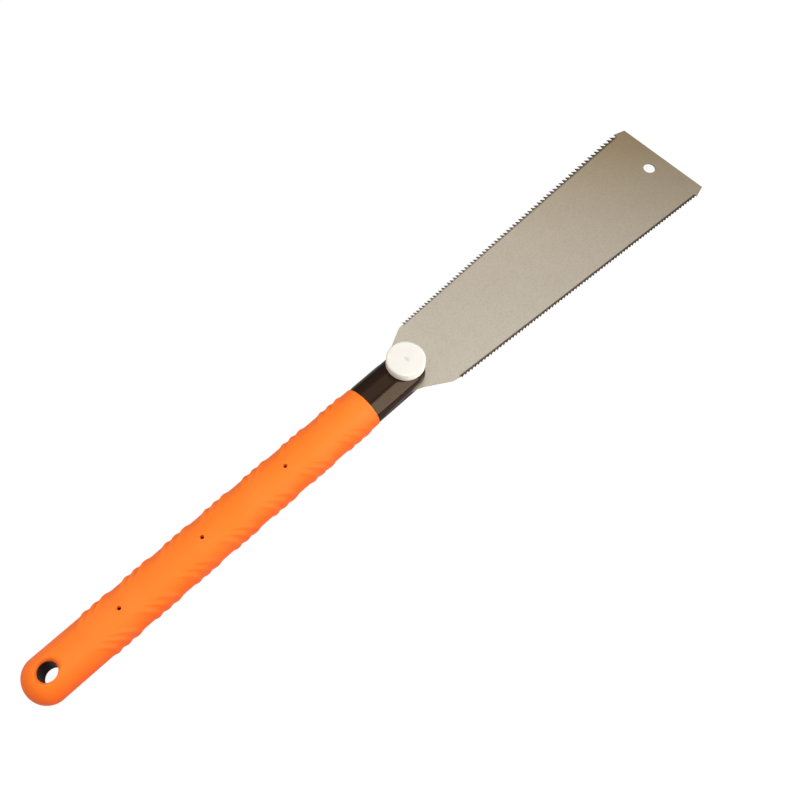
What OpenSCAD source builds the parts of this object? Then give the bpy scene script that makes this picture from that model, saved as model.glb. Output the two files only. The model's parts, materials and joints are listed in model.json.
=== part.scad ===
// Double-edged pull saw with a long overmoulded grip and a blade held by a thumb knob.
// Origin: centre of the hang hole, half way through the grip. +X runs to the blade's tip,
// +Z is the knob's side.

/* [Grip] */
// Distance from the hang hole to the round end of the grip
grip_tail = 16.8; // [15.5:0.1:20]
// Distance from the hang hole to the seam between grip and head
grip_front = 246.5; // [200:0.5:280]
// Half of the grip's width
grip_half_w = 15.6; // [14.5:0.1:18]
// Half of the grip's thickness
grip_half_t = 12.4; // [12:0.1:14]
// Depth of the flat along the underside, below the blade's middle plane
rest_depth = 12.0; // [11.8:0.1:12]
// Radius of the arcs that make the grip's two sides
grip_side_r = 10.4; // [8:0.1:11]
// Radius of the rounded lip around the hang hole
hang_lip_r = 4.0; // [2:0.1:4]
// Places of the pinholes left by the mould's core supports, from the hang hole
pinhole_x = [50.3, 111.7, 178.2]; // [20:0.1:240]
// Radius of one pinhole
pinhole_r = 1.2; // [0.5:0.1:1.5]

/* [Core] */
// Radius of the hang hole through the core
hang_r = 6.0; // [4:0.1:7]
// Outer radius of the eyelet that lines the hang hole
eyelet_r = 9.4; // [8:0.1:10]
// Half of the core's width inside the grip
core_half_w = 11.6; // [10:0.1:12]
// Half of the core's thickness inside the grip
core_half_t = 8.4; // [7:0.1:9]
// Radius of the arcs that make the core's two sides
core_side_r = 6.8; // [5:0.1:6.9]

/* [Head] */
// Distance from the hang hole to the clamp bolt's axis
pivot_x = 284.7; // [275:0.1:320]
// Half of the head's width at the seam
head_half_w = 14.8; // [14.2:0.1:15.4]
// Half of the head's thickness
head_half_t = 11.2; // [11:0.1:11.3]
// Radius of the arcs that make the head's two sides
head_side_r = 9.4; // [8:0.1:10]
// Radius of the head's round nose
nose_r = 14.0; // [13.6:0.1:14.1]
// Height of the flat seat under the knob, above the blade's middle plane
seat_z = 10.7; // [9:0.1:11]
// Depth of the slot behind the clamp bolt's axis
slot_depth = 20.5; // [20:0.1:24]
// Thickness of the slot between the jaws
slot_t = 0.8; // [0.8:0.05:1.2]
// Distance from the clamp bolt's axis back to the lower jaw's rear end
jaw_rear = 34; // [30:0.5:36]

/* [Blade] */
// Thickness of the blade
blade_t = 0.7; // [0.5:0.05:0.7]
// Angle that the blade is set at, from the handle's line
blade_set = -0.93; // [-3:0.01:3]
// Distance from the clamp bolt's axis to the first tooth
tooth_start = 25.8; // [24:0.1:30]
// Distance from the blade's long axis to the first crosscut tooth's point
cross_half_w = 29.6; // [28:0.1:31]
// Distance from the blade's long axis to the first rip tooth's point
rip_half_w = 29.0; // [28:0.1:31]
// Growth of the blade's half width for each millimetre of length
edge_slope = 0.0496; // [0:0.001:0.08]
// Distance between the fine crosscut teeth
cross_pitch = 3.0; // [2:0.1:4]
// Height of the crosscut teeth
cross_depth = 1.5; // [1:0.1:2]
// Number of spaces between the crosscut teeth
cross_count = 81; // [60:1:90]
// Distance between the first two rip teeth
rip_first_pitch = 2.72; // [2:0.01:4]
// Height of the first and of the last rip tooth
rip_depths = [1.8, 2.8]; // [1:0.1:3]
// Number of spaces between the rip teeth
rip_count = 70; // [60:1:90]
// Length of the chamfered corners at the tip
tip_chamfer = 9.0; // [4:0.1:12]
// Depth of the chamfered corners at the tip
tip_drop = 2.6; // [1:0.1:5]
// Slant of the tip's edge: how much further out the crosscut corner is, for each millimetre of width
tip_slant = 0.012; // [0:0.001:0.05]
// Distance from the clamp bolt's axis to the hole near the tip
tip_hole_x = 262.9; // [250:0.1:266]
// Radius of the hole near the tip
tip_hole_r = 4.5; // [3:0.1:6]

/* [Clamp] */
// Radius of the knob
knob_r = 13.2; // [12:0.1:13.5]
// Height of the knob
knob_h = 7.0; // [5:0.1:8]
// Radius of the clamp bolt's shank
bolt_r = 3.0; // [2.5:0.1:3.5]
// Play all round in each turning or sliding fit
play = 0.06; // [0.02:0.01:0.1]

/* [Hidden] */
$fn = 72;

slot_h = slot_t / 2;
toothed_length = cross_pitch * cross_count;
rip_last_pitch = 2 * toothed_length / rip_count - rip_first_pitch;
hook = 0.3;
mouth_step = 0.3;
pad_half_l = 8;
pad_half_w = 7;
pad_corner_r = 2;
washer_t = 0.8;
washer_r = 9;
knob_z = seat_z + washer_t;
knob_edge_r = 1.3;
knob_wall = 2.2;
insert_r = 4.6;
insert_flange_r = 6.2;
insert_flange_t = 0.8;
insert_h = 3.9;
boss_r = 6.6;
rib_count = 6;
rib_t = 1.2;
plate_r = 11.5;
plate_t = 1.0;
bush_r = 4.0;
bush_h = 3.0;
bolt_end_z = 15.0;
bolt_head_w = 10;
bolt_head_t = 3.5;
bolt_recess = 1.6;
bolt_head_z = bolt_recess - rest_depth;
screw_back = 27.5;
screw_x = pivot_x - screw_back;
screw_y = 7.5;
screw_r = 1.5;
screw_head_r = 2.9;
screw_top_z = 5.0;
screw_head_z = -7.5;
screw_head_t = 1.9;
tang_half_w = 13.4;
tang_end_r = 19.5;
slope_a = 31;
shoulder_r = 9.6;
shoulder_back = 3.0;
hollow_r = 36;
hollow_x = -14.5;
tip_land = 0.8;
bush_gap = 0.2;
cross_slot_l = 3.2;
cross_slot_w = 0.7;
cross_slot_d = 1.8;
seat_play = 0.4;
over = 1;
far = 400;

// Points of an arc, both ends included
function arc(centre, r, from, to, steps) =
    [for (i = [0 : steps]) let (a = from + (to - from) * i / steps)
        [centre.x + r * cos(a), centre.y + r * sin(a)]];

// Mirror points in the long axis and turn their order round
function other_side(points) = [for (i = [len(points) - 1 : -1 : 0]) [points[i].x, -points[i].y]];

// Oval made of two side arcs and two flatter arcs that run into them
module oval(half_w, half_t, side_r) {
    side_y = half_w - side_r;
    flat_r = (half_t * half_t + side_y * side_y - side_r * side_r) / (2 * (half_t - side_r));
    drop = flat_r - half_t;
    join_y = side_y * flat_r / (flat_r - side_r);
    for (side = [-1, 1]) translate([side * side_y, 0]) circle(r = side_r);
    intersection() {
        translate([0, -drop]) circle(r = flat_r);
        translate([0, drop]) circle(r = flat_r);
        square([2 * join_y, 4 * half_t], center = true);
    }
}

// Oval bar along X
module oval_bar(from, to, half_w, half_t, side_r) {
    translate([from, 0, 0]) rotate([90, 0, 90]) linear_extrude(to - from) oval(half_w, half_t, side_r);
}

// Outline of the grip or core from above, with a full round end at the hang hole
module round_end(half_w, tail, front) {
    translate([half_w - tail, 0]) circle(r = half_w);
    translate([half_w - tail, -half_w]) square([front + tail - half_w, 2 * half_w]);
}

// Outline of the head from above: sides that close in slightly, and a round nose
module head_outline() {
    translate([pivot_x, 0]) circle(r = nose_r);
    polygon([
        [grip_front, -head_half_w], [pivot_x, -nose_r],
        [pivot_x, nose_r], [grip_front, head_half_w]
    ]);
}

// Solid that both jaws are cut from: an oval bar whose nose is the same oval turned round the bolt
module head_body() {
    intersection() {
        oval_bar(grip_front, pivot_x, head_half_w, head_half_t, head_side_r);
        translate([0, 0, -far / 2]) linear_extrude(far) head_outline();
    }
    translate([pivot_x, 0, 0]) rotate_extrude() intersection() {
        oval(nose_r, head_half_t, head_side_r);
        translate([0, -far / 2]) square(far);
    }
}

// Flared mouth of the hang hole: a rounded lip from the core out to the grip's surface
module hang_mouth() {
    lip_x = hang_r + mouth_step + hang_lip_r;
    translate([0, 0, core_half_t]) rotate_extrude() difference() {
        square([lip_x, hang_lip_r + over]);
        translate([lip_x, 0]) circle(r = hang_lip_r);
    }
}

// The core without its head: an oval bar with a round end and an eyelet round the hang hole
module core_bar() {
    intersection() {
        oval_bar(-grip_tail, grip_front + over, core_half_w, core_half_t, core_side_r);
        translate([0, 0, -far / 2]) linear_extrude(far)
            round_end(core_half_w, grip_tail - grip_half_w + core_half_w, grip_front + over);
    }
    translate([0, 0, -core_half_t]) cylinder(r = eyelet_r, h = 2 * core_half_t);
}

// Hole for something round on the clamp bolt's axis
module on_pivot(r, from, to) {
    translate([pivot_x, 0, from]) cylinder(r = r, h = to - from);
}

module handle_core() {
    color("#2e2622") difference() {
        union() {
            core_bar();
            head_body();
            on_pivot(washer_r + seat_play, 0, seat_z);
        }
        translate([0, 0, -far / 2]) cylinder(r = hang_r, h = far);
        // the lower jaw's place
        translate([pivot_x - jaw_rear, -far / 2, -far / 2]) cube([far, far, far / 2 - slot_h]);
        // the slot that the blade's tang turns in
        translate([pivot_x, 0, -slot_h - over]) cylinder(r = slot_depth, h = slot_t + over);
        translate([pivot_x, -far / 2, -slot_h - over]) cube([far, far, slot_t + over]);
        on_pivot(plate_r, 0, slot_h + plate_t);
        on_pivot(bush_r + play, 0, bush_h + bush_gap);
        on_pivot(bolt_r + play, 0, far);
        on_pivot(washer_r + seat_play, seat_z, far);
        for (side = [-1, 1]) translate([screw_x, side * screw_y, -far / 2])
            cylinder(r = screw_r, h = far / 2 + screw_top_z);
    }
}

module grip() {
    color("#ff832e") difference() {
        intersection() {
            oval_bar(-grip_tail, grip_front, grip_half_w, grip_half_t, grip_side_r);
            translate([0, 0, -far / 2]) linear_extrude(far) round_end(grip_half_w, grip_tail, grip_front);
        }
        core_bar();
        translate([-far / 2, -far / 2, -far - rest_depth]) cube(far);
        hang_mouth();
        mirror([0, 0, 1]) hang_mouth();
        for (x = pinhole_x) translate([x, 0, 0]) cylinder(r = pinhole_r, h = far, $fn = 24);
    }
}

// Flat pad round the bolt's head, on which the head rests
module rest_pad() {
    translate([pivot_x, 0, -rest_depth]) linear_extrude(rest_depth - slot_h - plate_t) {
        square([2 * pad_half_l, 2 * (pad_half_w - pad_corner_r)], center = true);
        square([2 * (pad_half_l - pad_corner_r), 2 * pad_half_w], center = true);
        for (x = [-1, 1], y = [-1, 1])
            translate([x * (pad_half_l - pad_corner_r), y * (pad_half_w - pad_corner_r)])
                circle(r = pad_corner_r);
    }
}

module lower_jaw() {
    color("#2e2622") difference() {
        union() {
            intersection() {
                head_body();
                translate([pivot_x - jaw_rear, -far / 2, -far / 2]) cube([far, far, far / 2 - slot_h]);
            }
            rest_pad();
        }
        on_pivot(plate_r, -slot_h - plate_t, 0);
        on_pivot(bush_r + play, -bush_h - bush_gap, 0);
        on_pivot(bolt_r + play, -far / 2, 0);
        translate([pivot_x, 0, bolt_head_z + bolt_head_t / 2 - far / 2])
            cube([bolt_head_w + 2 * play, bolt_head_w + 2 * play, far + bolt_head_t], center = true);
        for (side = [-1, 1]) translate([screw_x, side * screw_y, 0]) {
            translate([0, 0, -far / 2]) cylinder(r = screw_r, h = far / 2);
            translate([0, 0, screw_head_z - far / 2]) cylinder(r = screw_head_r + play, h = far / 2);
        }
    }
}

module jaw_screws() {
    color("#8d8d90") for (side = [-1, 1]) translate([screw_x, side * screw_y, 0]) difference() {
        union() {
            translate([0, 0, screw_head_z]) cylinder(r = screw_r, h = screw_top_z - screw_head_z);
            translate([0, 0, screw_head_z - screw_head_t]) cylinder(r = screw_head_r, h = screw_head_t);
        }
        for (turn = [0, 90]) translate([0, 0, screw_head_z - screw_head_t]) rotate([0, 0, turn])
            cube([cross_slot_l, cross_slot_w, cross_slot_d], center = true);
    }
}

// Thin steel washer plate let into a jaw's face
module clamp_plate(from) {
    color("#9c9a96") difference() {
        on_pivot(plate_r, from, from + plate_t);
        on_pivot(bush_r + play, from - over, from + plate_t + over);
    }
}

module upper_clamp_plate() {
    clamp_plate(slot_h);
}

module lower_clamp_plate() {
    clamp_plate(-slot_h - plate_t);
}

module clamp_bolt() {
    color("#a8a8a8") union() {
        on_pivot(bolt_r, bolt_head_z, bolt_end_z);
        translate([pivot_x, 0, bolt_head_z + bolt_head_t / 2])
            cube([bolt_head_w, bolt_head_w, bolt_head_t], center = true);
    }
}

module pivot_bush() {
    color("#b9b6b0") difference() {
        on_pivot(bush_r, -bush_h, bush_h);
        on_pivot(bolt_r + play, -far / 2, far);
    }
}

// Distance of a toothed edge from the blade's long axis, at a distance from the clamp bolt's axis
function edge_y(half_w, x) = half_w + edge_slope * (x - tooth_start);

// Distance of one rip tooth's point: the pitch grows evenly from heel to tip
function rip_x(i) = tooth_start + i * rip_first_pitch
    + (rip_last_pitch - rip_first_pitch) * i * i / (2 * rip_count);

// Side of the blade from the tang out to the first tooth's root: a hollow, a slope and a round shoulder
function heel(half_w) = concat(
    arc([hollow_x, -(tang_half_w + hollow_r)], hollow_r, 90, 90 - slope_a, 8),
    arc([tooth_start - shoulder_back, -(half_w - shoulder_r)], shoulder_r, 270 - slope_a, 270, 6)
);

// Teeth lean to the handle, because the saw cuts on the pull
cross_teeth = [for (i = [0 : cross_count - 1]) each let (
    x = tooth_start + i * cross_pitch,
    gullet = x + (1 - hook) * cross_pitch
) [[x, -edge_y(cross_half_w, x)], [gullet, cross_depth - edge_y(cross_half_w, gullet)]]];
rip_teeth = [for (i = [rip_count - 1 : -1 : 0]) each let (
    x = rip_x(i),
    gullet = x + (1 - hook) * (rip_x(i + 1) - x),
    depth = rip_depths[0] + (rip_depths[1] - rip_depths[0]) * i / rip_count
) [[gullet, edge_y(rip_half_w, gullet) - depth], [x, edge_y(rip_half_w, x)]]];
end_x = tooth_start + toothed_length;
land_x = end_x + tip_land;
cross_end_y = -edge_y(cross_half_w, end_x);
rip_end_y = edge_y(rip_half_w, end_x);
tip_end = [
    [end_x, cross_end_y],
    [land_x, cross_end_y],
    [land_x + tip_chamfer - tip_slant * cross_end_y, cross_end_y + tip_drop],
    [land_x + tip_chamfer - tip_slant * rip_end_y, rip_end_y - tip_drop],
    [land_x, rip_end_y],
    [end_x, rip_end_y]
];
tang_a = asin(tang_half_w / tang_end_r);

module blade_outline() {
    difference() {
        polygon(concat(
            arc([0, 0], tang_end_r, 180, 180 + tang_a, 6),
            heel(cross_half_w - cross_depth), cross_teeth, tip_end, rip_teeth,
            other_side(heel(rip_half_w - rip_depths[0])),
            arc([0, 0], tang_end_r, 180 - tang_a, 180, 6)
        ));
        circle(r = bush_r + play);
        translate([-2 * tang_end_r, -bush_r - play]) square([2 * tang_end_r, 2 * (bush_r + play)]);
    }
}

module blade() {
    color("#bdb4a6") translate([pivot_x, 0, 0]) rotate([0, 0, blade_set]) difference() {
        translate([0, 0, -blade_t / 2]) linear_extrude(blade_t) blade_outline();
        translate([tip_hole_x, 0, -blade_t]) cylinder(r = tip_hole_r, h = 2 * blade_t);
    }
}

module knob_washer() {
    color("#a8a8a8") difference() {
        on_pivot(washer_r, seat_z, seat_z + washer_t);
        on_pivot(bolt_r + play, 0, far);
    }
}

module knob_insert() {
    color("#c9a553") difference() {
        union() {
            on_pivot(insert_r, knob_z, knob_z + insert_h);
            on_pivot(insert_flange_r, knob_z, knob_z + insert_flange_t);
        }
        on_pivot(bolt_r + play, 0, far);
    }
}

// Half section of the knob, with its rounded top edge
module knob_section() {
    square([knob_r - knob_edge_r, knob_h]);
    square([knob_r, knob_h - knob_edge_r]);
    translate([knob_r - knob_edge_r, knob_h - knob_edge_r]) intersection() {
        circle(r = knob_edge_r);
        square(knob_edge_r);
    }
}

module knob() {
    color("#f5f1ea") translate([pivot_x, 0, knob_z]) difference() {
        rotate_extrude() knob_section();
        // hollow underside, stiffened by ribs
        difference() {
            translate([0, 0, -over]) cylinder(r = knob_r - knob_wall, h = knob_h - knob_wall + over);
            translate([0, 0, -2 * over]) cylinder(r = boss_r, h = knob_h);
            for (i = [0 : rib_count - 1]) rotate([0, 0, i * 360 / rib_count])
                translate([0, -rib_t / 2, 0]) cube([knob_r - knob_wall / 2, rib_t, knob_h]);
        }
        translate([0, 0, -over]) cylinder(r = insert_r, h = insert_h + over);
        translate([0, 0, -over]) cylinder(r = insert_flange_r, h = insert_flange_t + over);
    }
}

handle_core();
grip();
lower_jaw();
jaw_screws();
upper_clamp_plate();
lower_clamp_plate();
clamp_bolt();
pivot_bush();
blade();
knob_washer();
knob();
knob_insert();
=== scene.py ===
import json
import math

import bmesh
import bpy
import numpy as np
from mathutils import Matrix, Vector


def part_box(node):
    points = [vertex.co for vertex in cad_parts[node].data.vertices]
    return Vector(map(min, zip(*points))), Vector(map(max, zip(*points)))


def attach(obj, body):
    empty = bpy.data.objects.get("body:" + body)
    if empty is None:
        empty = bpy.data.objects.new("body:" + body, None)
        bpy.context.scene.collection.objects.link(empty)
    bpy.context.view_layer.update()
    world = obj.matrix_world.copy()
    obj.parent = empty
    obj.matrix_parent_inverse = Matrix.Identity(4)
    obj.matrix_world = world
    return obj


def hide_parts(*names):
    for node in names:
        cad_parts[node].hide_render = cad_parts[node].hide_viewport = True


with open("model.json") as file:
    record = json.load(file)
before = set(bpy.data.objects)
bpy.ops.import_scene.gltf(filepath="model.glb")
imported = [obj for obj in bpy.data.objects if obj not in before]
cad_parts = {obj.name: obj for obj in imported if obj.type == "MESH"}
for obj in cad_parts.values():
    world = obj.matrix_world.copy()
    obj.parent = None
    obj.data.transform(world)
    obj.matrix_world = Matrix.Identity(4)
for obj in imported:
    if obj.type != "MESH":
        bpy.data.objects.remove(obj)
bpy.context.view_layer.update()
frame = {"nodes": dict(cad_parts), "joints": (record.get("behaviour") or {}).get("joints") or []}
mm = 0.001
pivotX = next(j for j in frame["joints"] if j["name"] == "blade_swing")["pos_m"][0] / mm
bladeAxis = next(j for j in frame["joints"] if j["name"] == "blade_release")["axis"]
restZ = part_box("grip")[0].z
print("frame loaded, clamp axis at", pivotX, "mm")


def hexToLinear(text):
    # sRGB hex colour to the linear values that shaders take
    parts = [int(text[i:i + 2], 16) / 255 for i in (1, 3, 5)]
    return [c / 12.92 if c <= 0.04045 else ((c + 0.055) / 1.055) ** 2.4 for c in parts] + [1.0]


def addNode(tree, kind, inputs=None, **settings):
    # one node, with its settings, and each input either a value or a link from another node's socket
    node = tree.nodes.new(kind)
    for name, value in settings.items():
        setattr(node, name, value)
    for name, value in (inputs or {}).items():
        if isinstance(value, bpy.types.NodeSocket):
            tree.links.new(value, node.inputs[name])
        else:
            node.inputs[name].default_value = value
    return node


def startMaterial(name, **values):
    # an empty node tree with a Principled shader wired to the output
    material = bpy.data.materials.new(name)
    material.use_nodes = True
    tree = material.node_tree
    tree.nodes.clear()
    shader = addNode(tree, "ShaderNodeBsdfPrincipled")
    for socket, value in values.items():
        shader.inputs[socket.replace("_", " ")].default_value = value
    addNode(tree, "ShaderNodeOutputMaterial", {"Surface": shader.outputs["BSDF"]})
    place = addNode(tree, "ShaderNodeTexCoord").outputs["Object"]
    return material, tree, shader, place


def rampStops(node, stops):
    # colour ramp stops given as (position, hex colour)
    ramp = node.color_ramp
    while len(ramp.elements) < len(stops):
        ramp.elements.new(0.5)
    for element, (position, colour) in zip(ramp.elements, stops):
        element.position = position
        element.color = hexToLinear(colour)


def gridFaces(rows, columns, closed):
    # quads of a rows x columns grid of points, the columns joined end to end when closed
    r = np.arange(rows - 1)[:, None]
    c = np.arange(columns if closed else columns - 1)[None, :]
    n = (c + 1) % columns
    quads = np.stack([r * columns + c, r * columns + n, (r + 1) * columns + n, (r + 1) * columns + c], -1)
    return quads.reshape(-1, 4)


def makePiece(name, points, faces, material, sharp=35):
    # mesh object from arrays in millimetres, doubles merged, normals outwards, smooth below the sharp angle
    mesh = bpy.data.meshes.new(name)
    mesh.from_pydata((points.reshape(-1, 3) * mm).tolist(), [], [list(f) for f in faces.tolist()])
    work = bmesh.new()
    work.from_mesh(mesh)
    bmesh.ops.remove_doubles(work, verts=work.verts, dist=0.002 * mm)
    bmesh.ops.dissolve_degenerate(work, edges=work.edges, dist=0.001 * mm)
    bmesh.ops.recalc_face_normals(work, faces=work.faces)
    work.to_mesh(mesh)
    work.free()
    mesh.materials.append(material)
    piece = bpy.data.objects.new(name, mesh)
    bpy.context.scene.collection.objects.link(piece)
    smoothShade(mesh, sharp)
    return piece


def smoothShade(mesh, angle):
    # smooth shading, with a crease wherever faces meet at more than the angle in degrees
    mesh.polygons.foreach_set("use_smooth", np.ones(len(mesh.polygons), bool))
    mesh.set_sharp_from_angle(angle=math.radians(angle))


def cutAway(piece, cutter, sharp=35):
    # take the cutter's volume out of the piece for good, then drop the cutter
    cut = piece.modifiers.new("cut", "BOOLEAN")
    cut.object = cutter
    cut.operation = "DIFFERENCE"
    cut.solver = "EXACT"
    bpy.context.view_layer.objects.active = piece
    with bpy.context.temp_override(object=piece, active_object=piece):
        bpy.ops.object.modifier_apply(modifier="cut")
    bpy.data.objects.remove(cutter)
    smoothShade(piece.data, sharp)


def lathe(name, profile, centre, material, steps=128, sharp=35):
    # profile of (radius, height) turned round a vertical axis
    turn = np.linspace(0, 2 * np.pi, steps, endpoint=False)
    r, z = np.asarray(profile, float).T
    points = np.stack([
        centre[0] + r[:, None] * np.cos(turn), centre[1] + r[:, None] * np.sin(turn),
        z[:, None] + 0 * turn], -1)
    return makePiece(name, points, gridFaces(len(r), steps, True), material, sharp)


def arcPoints(cx, cz, r, start, end, steps):
    # points (cx + r cos a, cz + r sin a) of an arc, with a from start to end in degrees
    a = np.radians(np.linspace(start, end, steps))
    return np.stack([cx + r * np.cos(a), cz + r * np.sin(a)], -1)


def softRubber():
    # thermoplastic rubber, moulded with a fine matt grain: satin, saturated, with a soft pale sheen
    material, tree, shader, place = startMaterial(
        "thermoplasticRubberMoulded", Roughness=0.5, Specular_IOR_Level=0.2, IOR=1.42, Sheen_Weight=0.25,
        Sheen_Roughness=0.4, Sheen_Tint=hexToLinear("#FFB27A"))
    # painted shade: by height the colour is darker and redder low on the flanks and lighter orange on top
    height = addNode(tree, "ShaderNodeSeparateXYZ", {"Vector": place}).outputs["Z"]
    level = addNode(tree, "ShaderNodeMapRange", {
        "Value": height, "From Min": -2 * mm, "From Max": 11 * mm}).outputs["Result"]
    paintedShadeTint = addNode(tree, "ShaderNodeValToRGB", {"Fac": level})
    rampStops(paintedShadeTint, [(0.0, "#EC520C"), (0.5, "#F56110"), (1.0, "#FA761E")])
    blotch = addNode(tree, "ShaderNodeTexNoise", {"Vector": place, "Scale": 1 / (18.18 * mm), "Detail": 3.0})
    patches = addNode(tree, "ShaderNodeMapRange", {
        "Value": blotch.outputs["Fac"], "From Min": 0.35, "From Max": 0.75, "To Max": 0.12})
    colour = addNode(tree, "ShaderNodeMixRGB", {
        "Fac": patches.outputs["Result"], "Color1": paintedShadeTint.outputs["Color"], "Color2": hexToLinear("#FB9050")})
    grain = addNode(tree, "ShaderNodeTexNoise", {"Vector": place, "Scale": 1.0 / (0.55 * mm), "Detail": 2.0})
    bump = addNode(tree, "ShaderNodeBump", {
        "Height": grain.outputs["Fac"], "Strength": 0.18, "Distance": 0.06 * mm})
    tree.links.new(colour.outputs["Color"], shader.inputs["Base Color"])
    tree.links.new(bump.outputs["Normal"], shader.inputs["Normal"])
    return material


def glossyNylon():
    # glass-filled nylon moulded in a polished tool: near-black brown with clear but slightly broken
    # reflections; painted shade dims the reflections on the flanks by height and leaves them full on top
    material, tree, shader, place = startMaterial(
        "blackNylonMoulded", Base_Color=hexToLinear("#22130C"), Roughness=0.14, IOR=1.37,
        Specular_Tint=hexToLinear("#FFE2C0"))
    flow = addNode(tree, "ShaderNodeTexNoise", {"Vector": place, "Scale": 1 / (3.846 * mm), "Detail": 3.0})
    rough = addNode(tree, "ShaderNodeMapRange", {
        "Value": flow.outputs["Fac"], "From Min": 0.3, "From Max": 0.7, "To Min": 0.11, "To Max": 0.18})
    split = addNode(tree, "ShaderNodeSeparateXYZ", {"Vector": place})
    tilted = addNode(tree, "ShaderNodeMath", {0: split.outputs["Y"], 1: -0.25, 2: split.outputs["Z"]},
                     operation="MULTIPLY_ADD")
    # painted shade: the specular level is low on the flanks and higher on top, by height
    flankReflectionShade = addNode(tree, "ShaderNodeMapRange", {
        "Value": tilted.outputs[0], "From Min": 4.5 * mm, "From Max": 8.5 * mm, "To Min": 0.1, "To Max": 0.5})
    speck = addNode(tree, "ShaderNodeTexNoise", {"Vector": place, "Scale": 1.0 / (0.9 * mm), "Detail": 1.0})
    glint = addNode(tree, "ShaderNodeMapRange", {
        "Value": speck.outputs["Fac"], "From Min": 0.62, "From Max": 0.75, "To Max": 0.25})
    # specular level = glint x mask + mask, the height mask painting shade onto the flanks' reflections
    level = addNode(tree, "ShaderNodeMath", {
        0: glint.outputs["Result"], 1: flankReflectionShade.outputs["Result"], 2: flankReflectionShade.outputs["Result"]},
        operation="MULTIPLY_ADD")
    ripple = addNode(tree, "ShaderNodeTexNoise", {"Vector": place, "Scale": 1 / (1.111 * mm), "Detail": 2.0})
    bump = addNode(tree, "ShaderNodeBump", {
        "Height": ripple.outputs["Fac"], "Strength": 0.12, "Distance": 0.03 * mm})
    tree.links.new(rough.outputs["Result"], shader.inputs["Roughness"])
    tree.links.new(level.outputs[0], shader.inputs["Specular IOR Level"])
    tree.links.new(bump.outputs["Normal"], shader.inputs["Normal"])
    return material


def bladeSteel():
    # rolled spring steel, cross ground to satin with fine dusty specks; painted shade turns it darker and
    # browner towards the tip, most of all in the corner on the rip-toothed side, and darkens the toothed
    # edges
    material, tree, shader, place = startMaterial(
        "springSteelGround", Metallic=1.0, Roughness=0.36)
    split = addNode(tree, "ShaderNodeSeparateXYZ", {"Vector": place})
    slant = addNode(tree, "ShaderNodeMath", {0: split.outputs["X"], 1: split.outputs["Y"]}, operation="ADD")
    # painted shade: the colour darkens and browns from heel to tip along X + Y
    along = addNode(tree, "ShaderNodeMapRange", {
        "Value": slant.outputs[0], "From Min": (pivotX + 20) * mm, "From Max": (pivotX + 320) * mm})
    paintedShadeTint = addNode(tree, "ShaderNodeValToRGB", {"Fac": along.outputs["Result"]})
    rampStops(paintedShadeTint, [
        (0.0, "#CEC5B5"), (0.27, "#CFC4B3"), (0.47, "#D2C6B3"), (0.69, "#CEBFA6"), (0.82, "#C8B597"),
        (0.9, "#C2AB8A"), (1.0, "#BBA27F")])
    scratchSize = (0.4, 16.667, 16.667)
    stretch = addNode(tree, "ShaderNodeMapping", {
        "Vector": place, "Scale": [1 / (size * mm) for size in scratchSize]})
    scratch = addNode(tree, "ShaderNodeTexNoise", {
        "Vector": stretch.outputs["Vector"], "Scale": 1.0, "Detail": 3.0})
    rough = addNode(tree, "ShaderNodeMapRange", {
        "Value": scratch.outputs["Fac"], "From Min": 0.3, "From Max": 0.7, "To Min": 0.3, "To Max": 0.42})
    cloud = addNode(tree, "ShaderNodeTexNoise", {"Vector": place, "Scale": 1 / (14.286 * mm), "Detail": 4.0})
    clouds = addNode(tree, "ShaderNodeMapRange", {
        "Value": cloud.outputs["Fac"], "From Min": 0.35, "From Max": 0.7, "To Max": 0.1})
    mixed = addNode(tree, "ShaderNodeMixRGB", {
        "Fac": clouds.outputs["Result"], "Color1": paintedShadeTint.outputs["Color"], "Color2": hexToLinear("#B5A58C")})
    speck = addNode(tree, "ShaderNodeTexNoise", {"Vector": place, "Scale": 1.0 / (1.3 * mm), "Detail": 2.0})
    dust = addNode(tree, "ShaderNodeMapRange", {
        "Value": speck.outputs["Fac"], "From Min": 0.45, "From Max": 0.8, "To Max": 0.3})
    dusty = addNode(tree, "ShaderNodeMixRGB", {
        "Fac": dust.outputs["Result"], "Color1": mixed.outputs["Color"], "Color2": hexToLinear("#A3947C")})
    # painted shade: a dark band along the toothed edges, for the tooth facets turned away from the light
    edge = addNode(tree, "ShaderNodeAttribute", attribute_name="toothEdgeShade")
    dark = addNode(tree, "ShaderNodeMixRGB", {
        "Fac": edge.outputs["Fac"], "Color1": dusty.outputs["Color"], "Color2": hexToLinear("#4A3B2D")})
    bump = addNode(tree, "ShaderNodeBump", {
        "Height": scratch.outputs["Fac"], "Strength": 0.08, "Distance": 0.01 * mm})
    tree.links.new(dark.outputs["Color"], shader.inputs["Base Color"])
    tree.links.new(rough.outputs["Result"], shader.inputs["Roughness"])
    tree.links.new(bump.outputs["Normal"], shader.inputs["Normal"])
    return material


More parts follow.
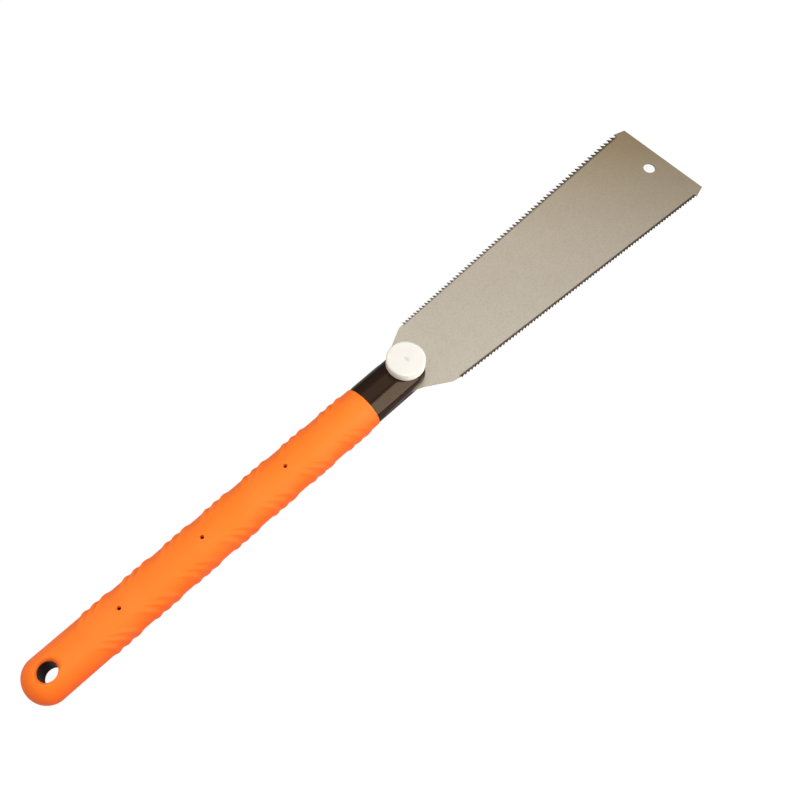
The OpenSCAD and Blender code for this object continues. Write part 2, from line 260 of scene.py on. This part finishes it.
def whiteAcetal():
    # acetal moulded white: waxy satin with light passing under the surface; painted light makes the side a
    # lighter cream and painted shade makes the top greyer, with a smudge across the gate mark in the middle
    material, tree, shader, place = startMaterial(
        "whiteAcetalMoulded", Roughness=0.38, IOR=1.48, Subsurface_Weight=0.6, Subsurface_Scale=2.6 * mm,
        Subsurface_Radius=(1.0, 0.8, 0.6))
    # painted light and shade by height: lighter cream on the side, greyer on the top
    height = addNode(tree, "ShaderNodeSeparateXYZ", {"Vector": place}).outputs["Z"]
    level = addNode(tree, "ShaderNodeMapRange", {
        "Value": height, "From Min": 16.6 * mm, "From Max": 18.1 * mm}).outputs["Result"]
    paintedTopSideShade = addNode(tree, "ShaderNodeMixRGB", {
        "Fac": level, "Color1": hexToLinear("#FFF3E0"), "Color2": hexToLinear("#DEDAD3")})
    cloud = addNode(tree, "ShaderNodeTexNoise", {"Vector": place, "Scale": 1 / (8.333 * mm), "Detail": 3.0})
    faint = addNode(tree, "ShaderNodeMapRange", {"Value": cloud.outputs["Fac"], "To Max": 0.16})
    clouded = addNode(tree, "ShaderNodeMixRGB", {
        "Fac": faint.outputs["Result"], "Color1": paintedTopSideShade.outputs["Color"], "Color2": hexToLinear("#D6CFC4")})
    # smudge: a soft ball stretched to 6 mm across the handle and 3 mm along it, near the bolt's axis
    smudgeCentre = (pivotX, -0.8, 18.2)
    smudgeReach = (1.5, 3.0, 2.0)
    middle = addNode(tree, "ShaderNodeMapping", {
        "Vector": place, "Location": [-c / r for c, r in zip(smudgeCentre, smudgeReach)],
        "Scale": [1 / (r * mm) for r in smudgeReach]})
    ball = addNode(tree, "ShaderNodeTexGradient", {
        "Vector": middle.outputs["Vector"]}, gradient_type="SPHERICAL")
    smudge = addNode(tree, "ShaderNodeMath", {0: ball.outputs["Fac"], 1: 0.6}, operation="MULTIPLY")
    colour = addNode(tree, "ShaderNodeMixRGB", {
        "Fac": smudge.outputs[0], "Color1": clouded.outputs["Color"], "Color2": hexToLinear("#A79F9B")})
    grain = addNode(tree, "ShaderNodeTexNoise", {"Vector": place, "Scale": 1 / (0.6667 * mm), "Detail": 2.0})
    bump = addNode(tree, "ShaderNodeBump", {
        "Height": grain.outputs["Fac"], "Strength": 0.08, "Distance": 0.03 * mm})
    tree.links.new(colour.outputs["Color"], shader.inputs["Base Color"])
    tree.links.new(bump.outputs["Normal"], shader.inputs["Normal"])
    return material


def platedMetal(name, light, dark, rough):
    # turned and plated small parts: even satin metal with faint cloudiness
    material, tree, shader, place = startMaterial(name, Metallic=1.0, Roughness=rough)
    cloud = addNode(tree, "ShaderNodeTexNoise", {"Vector": place, "Scale": 1 / (2.5 * mm), "Detail": 4.0})
    colour = addNode(tree, "ShaderNodeMixRGB", {
        "Fac": cloud.outputs["Fac"], "Color1": hexToLinear(light), "Color2": hexToLinear(dark)})
    grain = addNode(tree, "ShaderNodeTexNoise", {"Vector": place, "Scale": 1 / (0.4 * mm), "Detail": 2.0})
    bump = addNode(tree, "ShaderNodeBump", {
        "Height": grain.outputs["Fac"], "Strength": 0.1, "Distance": 0.02 * mm})
    tree.links.new(colour.outputs["Color"], shader.inputs["Base Color"])
    tree.links.new(bump.outputs["Normal"], shader.inputs["Normal"])
    return material


def paperFloor():
    # seamless paper with the faintest cloud; the camera sees most of it burnt out to white, so that its
    # shadows stay very pale while the object still has a darker contact to reflect
    material, tree, shader, place = startMaterial("seamlessPaper", Roughness=0.9, Specular_IOR_Level=0.1)
    cloud = addNode(tree, "ShaderNodeTexNoise", {"Vector": place, "Scale": 1 / (83.33 * mm), "Detail": 3.0})
    colour = addNode(tree, "ShaderNodeMixRGB", {
        "Fac": cloud.outputs["Fac"], "Color1": hexToLinear("#CFCFCE"), "Color2": hexToLinear("#CACAC9")})
    tree.links.new(colour.outputs["Color"], shader.inputs["Base Color"])
    burnt = addNode(tree, "ShaderNodeEmission", {"Color": hexToLinear("#FFFFFF"), "Strength": 1.1})
    seen = addNode(tree, "ShaderNodeMath", {
        0: addNode(tree, "ShaderNodeLightPath").outputs["Is Camera Ray"], 1: 0.85}, operation="MULTIPLY")
    mix = addNode(tree, "ShaderNodeMixShader", {
        "Fac": seen.outputs[0], 1: shader.outputs["BSDF"], 2: burnt.outputs["Emission"]})
    output = next(n for n in tree.nodes if n.bl_idname == "ShaderNodeOutputMaterial")
    tree.links.new(mix.outputs["Shader"], output.inputs["Surface"])
    return material


rubber = softRubber()
nylon = glossyNylon()
steel = bladeSteel()
acetal = whiteAcetal()
zinc = platedMetal("zincPlatedSteel", "#B9B8B6", "#9E9D9C", 0.34)
brass = platedMetal("turnedBrass", "#D8B66C", "#C09A50", 0.28)
print("materials made")

camera = {"place": (0.0437, -0.1990, 0.5621), "turn": (27.245, -2.647, -45.110), "lens": 43.01}
lens = bpy.data.cameras.new("camera")
lens.lens = camera["lens"]
lens.sensor_width = 36
lens.clip_start = 0.01
lens.clip_end = 50
eye = bpy.data.objects.new("camera", lens)
eye.location = camera["place"]
eye.rotation_euler = [math.radians(a) for a in camera["turn"]]
bpy.context.scene.collection.objects.link(eye)
bpy.context.scene.camera = eye
bpy.context.scene.view_settings.view_transform = "Standard"


def softbox(name, place, aim, length, size, power):
    # rectangular area light at place facing aim; its second side lies as near as it can to the way given
    # by length, side = length x back and upright = back x side
    data = bpy.data.lights.new(name, "AREA")
    data.shape = "RECTANGLE"
    data.size, data.size_y = size
    data.energy = power
    back = np.subtract(place, aim)
    back = back / np.linalg.norm(back)
    side = np.cross(length, back)
    side = side / np.linalg.norm(side)
    matrix = np.eye(4)
    matrix[:3] = np.stack([side, np.cross(back, side), back, place], 1)
    light = bpy.data.objects.new(name, data)
    light.matrix_world = matrix.T.tolist()
    bpy.context.scene.collection.objects.link(light)


softbox("overheadBox", place=(0.6, 0.65, 1.5), aim=(0.6, 0.65, 0), length=(0, 1, 0),
        size=(2.2, 1.6), power=6.9)
softbox("frontBox", place=(0.49, -0.42, 0.363), aim=(0.265, 0, 0), length=(0, 0.63, 0.77),
        size=(0.42, 0.68), power=4.0)
softbox("farBox", place=(0.0, 0.55, 0.4), aim=(0.12, 0, 0), length=(1, 0, 0),
        size=(0.6, 0.3), power=0.8)
softbox("tailBox", place=(-0.22, -0.16, 0.8), aim=(0, 0, 0), length=(0, 1, 0),
        size=(0.5, 0.5), power=3.2)

world = bpy.data.worlds.new("studio")
bpy.context.scene.world = world
world.use_nodes = True
sky = world.node_tree
sky.nodes.clear()
height = addNode(sky, "ShaderNodeSeparateXYZ", {
    "Vector": addNode(sky, "ShaderNodeTexCoord").outputs["Generated"]}).outputs["Z"]
glow = addNode(sky, "ShaderNodeMapRange", {"Value": height, "To Min": 0.2, "To Max": 0.37})
# the camera sees the far wall burnt out like the paper
burnt = addNode(sky, "ShaderNodeMath", {
    0: addNode(sky, "ShaderNodeLightPath").outputs["Is Camera Ray"], 1: 0.7, 2: glow.outputs["Result"]},
    operation="MULTIPLY_ADD")
back = addNode(sky, "ShaderNodeBackground", {
    "Color": hexToLinear("#FFFFFF"), "Strength": burnt.outputs[0]})
addNode(sky, "ShaderNodeOutputWorld", {"Surface": back.outputs["Background"]})

floorHalf = 4.0
corners = ((-1, -1), (1, -1), (1, 1), (-1, 1))
floorMesh = bpy.data.meshes.new("floor")
floorMesh.from_pydata([(x * floorHalf, y * floorHalf, restZ) for x, y in corners], [], [(0, 1, 2, 3)])
floorMesh.materials.append(paperFloor())
floor = bpy.data.objects.new("floor", floorMesh)
bpy.context.scene.collection.objects.link(floor)
print("camera, lights and floor set")

grip = {
    "halfWidth": 15.25, "halfThickness": 12.4, "innerHalfWidth": 11.65, "innerHalfThickness": 8.42,
    "tailLength": 13.3, "frontRound": 0.7, "step": 0.65, "around": 180, "tailSteps": 40, "rollSteps": 8,
    "ridgeHeight": 0.52, "ridgeWidth": 2.0, "ridgeSpacing": 8.0, "firstGroup": 43.2, "groupPitch": 29.6,
    "pitchGrowth": 0.6, "groups": 7, "ridgeSlant": 7.8, "converge": 2.1, "fullLean": 50.0,
    "flankHeight": 1.1, "swellTo": 35.0, "fadeFrom": 45, "fadeTo": 66, "ridgeThin": 0.8,
    "flatRound": 0.35, "innerGap": 1.0, "innerTail": 9.0, "innerSteps": 60, "innerTailSteps": 12,
    "throat": 6.04, "lip": 4.0, "throatEdge": 8.42, "overcut": 1.6,
    "pinholes": (50.3, 111.7, 178.2), "pinRadius": 1.35, "pinRound": 0.3, "pinSunk": 0.25, "pinFloor": 7.5,
}


def easeInOut(t):
    # t^2 (3 - 2t), with t held between 0 and 1
    t = np.clip(t, 0, 1)
    return t * t * (3 - 2 * t)


def ridgeHeights(x, lean):
    # seven groups of three ridges, each exp(-(offset / width)^2) high across its crest. With climb = lean /
    # fullLean, where lean is the angle up or down from the widest line, the crest stands slant climb^2
    # nearer the hang hole, the three close up by converge climb, and the ridge dies out before the top
    s = grip
    climb = np.abs(lean) / s["fullLean"]
    crestShift = -s["ridgeSlant"] * climb ** 2
    spacing = s["ridgeSpacing"] - s["converge"] * climb
    fade = easeInOut((s["fadeTo"] - np.abs(lean)) / (s["fadeTo"] - s["fadeFrom"]))
    total = np.zeros_like(x + lean)
    for g in range(s["groups"]):
        middle = s["firstGroup"] + g * s["groupPitch"] + s["pitchGrowth"] * g * (g - 1) / 2
        for k in (-1, 0, 1):
            offset = x - (middle + k * spacing) - crestShift
            total += np.exp(-(offset / s["ridgeWidth"]) ** 2)
    swell = easeInOut(np.abs(lean) / s["swellTo"])
    height = s["ridgeHeight"] + (s["flankHeight"] - s["ridgeHeight"]) * swell
    return height * total * fade


def makeGrip():
    # outer skin: an ellipse section (half width cos, half thickness sin) carried along X, shrunk like an
    # ellipsoid at the tail and rolled in at the seam, then the inner wall carried back again, so that the
    # skin is one closed shell. Below the resting line it flattens as round exp((z - line) / round)
    s = grip
    low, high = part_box("grip")
    tail, front = low.x / mm, high.x / mm
    turn = np.radians(np.linspace(0, 360, s["around"], endpoint=False))
    lean = (np.degrees(turn) + 90) % 180 - 90
    tailEnd = tail + s["tailLength"]
    u = np.linspace(0, 1, s["tailSteps"])
    tailX = tailEnd - s["tailLength"] * np.cos(u * np.pi / 2)
    straight = np.arange(tailEnd + s["step"], front - s["frontRound"], s["step"])
    roll = np.linspace(0, np.pi / 2, s["rollSteps"])
    x = np.concatenate([tailX, straight, front - s["frontRound"] + s["frontRound"] * np.sin(roll)])
    shrink = np.ones_like(x)
    shrink[:len(tailX)] = np.sin(u * np.pi / 2)
    inset = np.zeros_like(x)
    inset[-len(roll):] = s["frontRound"] * (1 - np.cos(roll))
    ridges = ridgeHeights(x[:, None], lean[None, :]) * shrink[:, None]
    width = (s["halfWidth"] - inset)[:, None] * shrink[:, None] + ridges
    thick = (s["halfThickness"] - inset)[:, None] * shrink[:, None] + ridges * s["ridgeThin"]
    y = width * np.cos(turn)
    z = thick * np.sin(turn)
    soft = s["flatRound"]
    line = restZ / mm + soft
    z = np.where(z < line, line - soft + soft * np.exp(np.minimum((z - line) / soft, 0)), z)
    outer = np.stack([x[:, None] + 0 * y, y, z], -1)
    innerEnd = tailEnd + s["innerGap"]
    closing = np.linspace(0.1, 1, s["innerTailSteps"]) * np.pi / 2
    innerX = np.concatenate([
        np.linspace(front, innerEnd, s["innerSteps"]), innerEnd - s["innerTail"] * np.sin(closing)])
    innerShrink = np.ones_like(innerX)
    innerShrink[-len(closing):] = np.cos(closing)
    inner = np.stack([
        innerX[:, None] + 0 * turn, s["innerHalfWidth"] * innerShrink[:, None] * np.cos(turn),
        s["innerHalfThickness"] * innerShrink[:, None] * np.sin(turn)], -1)
    points = np.concatenate([outer, inner])
    return makePiece("gripSkin", points, gridFaces(len(points), s["around"], True), rubber)


def cutHangHole(skin):
    # cutter turned round the hang hole: a straight throat that flares into a quarter-round lip at both faces
    s = grip
    reach = s["halfThickness"] + s["overcut"]
    top = arcPoints(s["throat"] + s["lip"], s["throatEdge"], s["lip"], 180, 90, 14)
    up = np.concatenate([[[0, reach], [s["throat"] + s["lip"], reach]], top[::-1]])
    cutAway(skin, lathe("mouthCutter", np.concatenate([up, up[::-1] * [1, -1]]), (0, 0), rubber, 96))


def cutPinholes(skin):
    # small holes that the mould's core supports leave in the rubber, down to the core, with a rounded rim
    s = grip
    rim = s["pinRadius"] + s["pinRound"]
    edge = arcPoints(rim, s["halfThickness"] - s["pinSunk"], s["pinRound"], 90, 180, 5)
    reach = s["halfThickness"] + s["overcut"]
    profile = np.concatenate([
        [[0, reach], [rim, reach]], edge, [[s["pinRadius"], s["pinFloor"]], [0, s["pinFloor"]]]])
    for x in s["pinholes"]:
        cutAway(skin, lathe("pinCutter", profile, (x, 0), rubber, 24))


skin = makeGrip()
cutHangHole(skin)
cutPinholes(skin)
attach(skin, "handle")
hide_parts("grip")
print("grip made,", len(skin.data.polygons), "faces")

blade = {
    "thickness": 0.7, "toothStart": 25.8, "slope": 0.0496, "tipX": 278.5, "tipDrop": 2.6, "tipSkew": 0.012,
    "tang": 13.4, "tangEnd": 19.5, "hollow": 36.0, "hollowX": -14.5, "heelSlope": 31.0, "shoulder": 9.6,
    "cross": {"half": 29.55, "length": 243.0, "pitch": 3.0, "count": 81, "depth": (1.1, 1.1), "back": 0.9,
              "strip": 0.8, "dark": 0.9, "heelHalf": 27.9, "heelX": 22.8, "land": 0.0},
    "rip": {"half": 29.0, "length": 242.2, "pitch": 2.72, "count": 70, "depth": (2.1, 2.9), "back": 0.72,
            "strip": 0.1, "dark": 0.55, "heelHalf": 27.35, "heelX": 23.55, "land": 0.9},
    "holeX": 262.9, "holeRadius": 4.5, "slotRadius": 4.06, "slotMouth": -30.0, "cutReach": 2.0,
    "set": 0.06, "bevel": 0.4, "rise": 0.04, "lead": 0.8, "tangFrom": 178, "hollowFrom": -89, "arcSteps": 14,
    "shoulderSteps": 12, "edgeFade": 1.0, "leastStrip": 0.05, "innerShare": 0.8, "feather": 0.7,
    "featherShare": 0.7, "middleShare": 0.4, "sharp": 4,
}


def toothedEdge(side):
    # stations of one edge from the tang to the tip: x, outer half width, root half width, which way the tooth
    # is set, and the tooth points. Point i stands at start + i pitch + (mean pitch - pitch) i^2 / count, on
    # the line half + slope (x - start); each tooth rises straight on the handle side and slopes back
    s, e = blade, blade[side]
    n = e["count"]
    i = np.arange(n + 1)
    tips = s["toothStart"] + i * e["pitch"] + (e["length"] / n - e["pitch"]) * i * i / n
    depth = e["depth"][0] + (e["depth"][1] - e["depth"][0]) * i / n
    line = e["half"] + s["slope"] * (tips - s["toothStart"])
    line[-1] -= e["land"]
    pitch = np.append(np.diff(tips), tips[-1] - tips[-2])
    x = np.stack([tips - s["rise"], tips, tips + e["back"] * pitch], 1)
    half = np.stack([line - depth, line, line - depth], 1)
    point = np.stack([0 * tips, np.where(i % 2, 1.0, -1.0), 0 * tips], 1)
    x, half, point = x.ravel()[:-1], half.ravel()[:-1], point.ravel()[:-1]
    # the heel: a round tang end, a hollow, a straight slope and a round shoulder. The tang's arc ends where
    # its height is the tang's half width, at sin(turn) = half width / radius
    turn = math.degrees(math.asin(s["tang"] / s["tangEnd"]))
    heel = np.concatenate([
        arcPoints(0, 0, s["tangEnd"], s["tangFrom"], 180 - turn, s["arcSteps"]),
        arcPoints(s["hollowX"], s["tang"] + s["hollow"], s["hollow"], s["hollowFrom"],
                  -90 + s["heelSlope"], s["arcSteps"]),
        arcPoints(e["heelX"], e["heelHalf"] - s["shoulder"], s["shoulder"],
                  90 + s["heelSlope"], 90, s["shoulderSteps"])])
    tip = np.array([[tips[-1] + s["lead"], line[-1]], [s["tipX"], line[-1] - s["tipDrop"]]])
    root = np.concatenate([heel[:, 1], line[[0, -1]] - depth[[0, -1]], tip[:, 1]])
    rootX = np.concatenate([heel[:, 0], tips[[0, -1]], tip[:, 0]])
    x = np.concatenate([heel[:, 0], x, tip[:, 0]])
    half = np.concatenate([heel[:, 1], half, tip[:, 1]])
    point = np.concatenate([0 * heel[:, 0], point, [0, 0]])
    return x, half, point, np.interp(x, rootX, root), tips


def makeBlade():
    # section carried along the blade's length: at each station the two edges' places come from the tooth
    # lines, and at each point the tooth is set to one side and bevelled from the other, so that its faces
    # stand at upper = h - bevel max(mark, 0) - set mark and lower = -h - bevel min(mark, 0) - set mark
    s = blade
    edges = {side: toothedEdge(side) for side in ("cross", "rip")}
    x = np.unique(np.round(np.concatenate([e[0] for e in edges.values()]), 4))
    h = s["thickness"] / 2
    halves = []
    for side, sign in (("cross", -1), ("rip", 1)):
        ex, half, point, root, tips = edges[side]
        outer, mark, rootHalf = (np.interp(x, ex, v) for v in (half, point, root))
        strip = np.clip((x - tips[0]) / s["edgeFade"] + 1, 0, 1)
        strip = strip * np.clip((tips[-1] - x) / s["edgeFade"] + 1, 0, 1)
        inner = np.minimum(rootHalf - s[side]["strip"], outer - s["leastStrip"])
        inner = np.maximum(inner, s["innerShare"] * outer)
        feather = np.maximum(inner - s["feather"], s["featherShare"] * inner)
        upper = h - s["bevel"] * np.maximum(mark, 0) - s["set"] * mark
        lower = -h - s["bevel"] * np.minimum(mark, 0) - s["set"] * mark
        across = [sign * outer, sign * inner, sign * feather, sign * s["middleShare"] * inner]
        # painted shade along the toothed edge: full on the outer row, the side's dark share on the next row
        # in
        marks = [strip, strip * s[side]["dark"], 0 * x, 0 * x]
        halves.append((across, (upper, lower), marks))
    ring = []
    for face, level in ((0, h), (1, -h)):
        rows = [[(y, level + 0 * x if k else faces[face], d) for k, (y, d) in enumerate(zip(across, marks))]
                for across, faces, marks in halves]
        around = rows[0] + rows[1][::-1]
        ring += around[::-1] if face else around
    y = np.stack([r[0] for r in ring], 1)
    z = np.stack([r[1] for r in ring], 1)
    dark = np.stack([r[2] for r in ring], 1)
    along = x[:, None] + 0 * y
    along[-1] -= s["tipSkew"] * y[-1]
    c, sn = bladeAxis[0], bladeAxis[1]
    points = np.stack([pivotX + along * c - y * sn, along * sn + y * c, z], -1)
    faces = gridFaces(len(x), len(ring), True).tolist()
    faces.append(list(range(len(ring))))
    faces.append([(len(x) - 1) * len(ring) + k for k in range(len(ring))][::-1])
    mesh = bpy.data.meshes.new("bladeGround")
    mesh.from_pydata((points.reshape(-1, 3) * mm).tolist(), [], faces)
    work = bmesh.new()
    work.from_mesh(mesh)
    bmesh.ops.recalc_face_normals(work, faces=work.faces)
    work.to_mesh(mesh)
    work.free()
    mesh.attributes.new("toothEdgeShade", "FLOAT", "POINT").data.foreach_set("value", dark.ravel())
    mesh.materials.append(steel)
    piece = bpy.data.objects.new("bladeGround", mesh)
    bpy.context.scene.collection.objects.link(piece)
    smoothShade(mesh, s["sharp"])
    return piece


def cutBladeHoles(piece):
    # the round hole near the tip, and the open slot that slides over the pivot bush
    s = blade
    c, sn = bladeAxis[0], bladeAxis[1]
    hole = (pivotX + s["holeX"] * c, s["holeX"] * sn)
    r, reach = s["holeRadius"], s["cutReach"]
    profile = [(0, reach), (r, reach), (r, -reach), (0, -reach)]
    cutAway(piece, lathe("holeCutter", profile, hole, steel, 72), s["sharp"])
    r, mouth = s["slotRadius"], s["slotMouth"]
    a = np.radians(np.linspace(90, -90, 25))
    outline = np.concatenate([np.stack([r * np.cos(a), r * np.sin(a)], -1), [[mouth, -r], [mouth, r]]])
    along, out = outline.T
    flat = np.stack([pivotX + along * c - out * sn, along * sn + out * c], -1)
    points = np.stack([np.column_stack([flat, 0 * along + z]) for z in (-reach, reach)])
    faces = gridFaces(2, len(flat), True).tolist()
    faces += [list(range(len(flat))), list(range(len(flat), 2 * len(flat)))]
    cutAway(piece, makePiece("slotCutter", points, np.array(faces, dtype=object), steel), s["sharp"])


bladePiece = makeBlade()
cutBladeHoles(bladePiece)
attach(bladePiece, "blade")
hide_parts("blade")
print("blade made,", len(bladePiece.data.polygons), "faces")

knob = {
    "radius": 13.2, "topRound": 1.3, "footRound": 0.5, "dimple": 0.3, "dimpleRadius": 1.7, "wall": 2.2,
    "boss": 6.6, "bore": 4.6, "boreDepth": 3.9, "crown": 0.18, "draft": 0.2,
}


def makeKnob():
    # half section: a top at top - crown (r / radius)^2 - dimple exp(-(r / dimpleRadius)^2), a round
    # shoulder, a plain side and a hollow underside
    s = knob
    low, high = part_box("knob")
    foot, top = low.z / mm, high.z / mm
    r = np.linspace(0, s["radius"] - s["topRound"], 24)
    crown = top - s["crown"] * (r / s["radius"]) ** 2 - s["dimple"] * np.exp(-(r / s["dimpleRadius"]) ** 2)
    shoulder = arcPoints(s["radius"] - s["topRound"], crown[-1] - s["topRound"], s["topRound"], 88, 0, 12)
    heel = arcPoints(s["radius"] - s["footRound"], foot + s["footRound"], s["footRound"], 0, -90, 6)
    inner = s["radius"] - s["wall"]
    roof = top - s["wall"]
    under = [[inner, foot], [inner - s["draft"], roof], [s["boss"], roof], [s["boss"], foot],
             [s["bore"], foot], [s["bore"], foot + s["boreDepth"]], [0, foot + s["boreDepth"]]]
    profile = np.concatenate([np.stack([r, crown], -1), shoulder, heel, under])
    return lathe("knobBody", profile, (pivotX, 0), acetal, 160)


knobPiece = makeKnob()
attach(knobPiece, "knob")
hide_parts("knob")
print("knob made")

parting = {
    "radius": 0.3, "height": 3.0, "sunk": 0.1, "from": 247.6, "to": 276.5, "steps": 60, "around": 12,
    "point": 2.0, "flat": 14.31, "rootHalf": 14.8, "rootX": 246.5, "taper": 0.8, "taperLength": 38.2,
}


def makePartingBeads():
    # thin round bead down each flank of the head, where the mould's halves met: a circle of the radius
    # carried along X at the head's half width, which is the smaller of flat and
    # rootHalf - taper (x - rootX) / taperLength, and drawn in to a point at both ends
    s = parting
    x = np.linspace(s["from"], s["to"], s["steps"])
    turn = np.linspace(0, 2 * np.pi, s["around"], endpoint=False)
    tapered = s["rootHalf"] - s["taper"] * (x - s["rootX"]) / s["taperLength"]
    flank = np.minimum(s["flat"], tapered) - s["sunk"]
    r = s["radius"] * np.clip(np.minimum(x - s["from"], s["to"] - x) / s["point"], 0.0, 1)[:, None]
    bead = np.stack([
        x[:, None] + 0 * turn, flank[:, None] + r * np.cos(turn), s["height"] + r * np.sin(turn)], -1)
    points = np.concatenate([bead, bead * [1, -1, 1]])
    faces = gridFaces(len(x), len(turn), True)
    faces = np.concatenate([faces, faces + len(x) * len(turn)])
    return makePiece("headPartingBeads", points, faces, nylon)


beads = makePartingBeads()
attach(beads, "handle")
print("head's parting beads made")

finishes = {
    "handle_core": nylon, "lower_jaw": nylon, "jaw_screws": zinc, "upper_clamp_plate": zinc,
    "lower_clamp_plate": zinc, "clamp_bolt": zinc, "pivot_bush": zinc, "knob_washer": zinc,
    "knob_insert": brass,
}
for name, material in finishes.items():
    mesh = frame["nodes"][name].data
    mesh.materials.clear()
    mesh.materials.append(material)
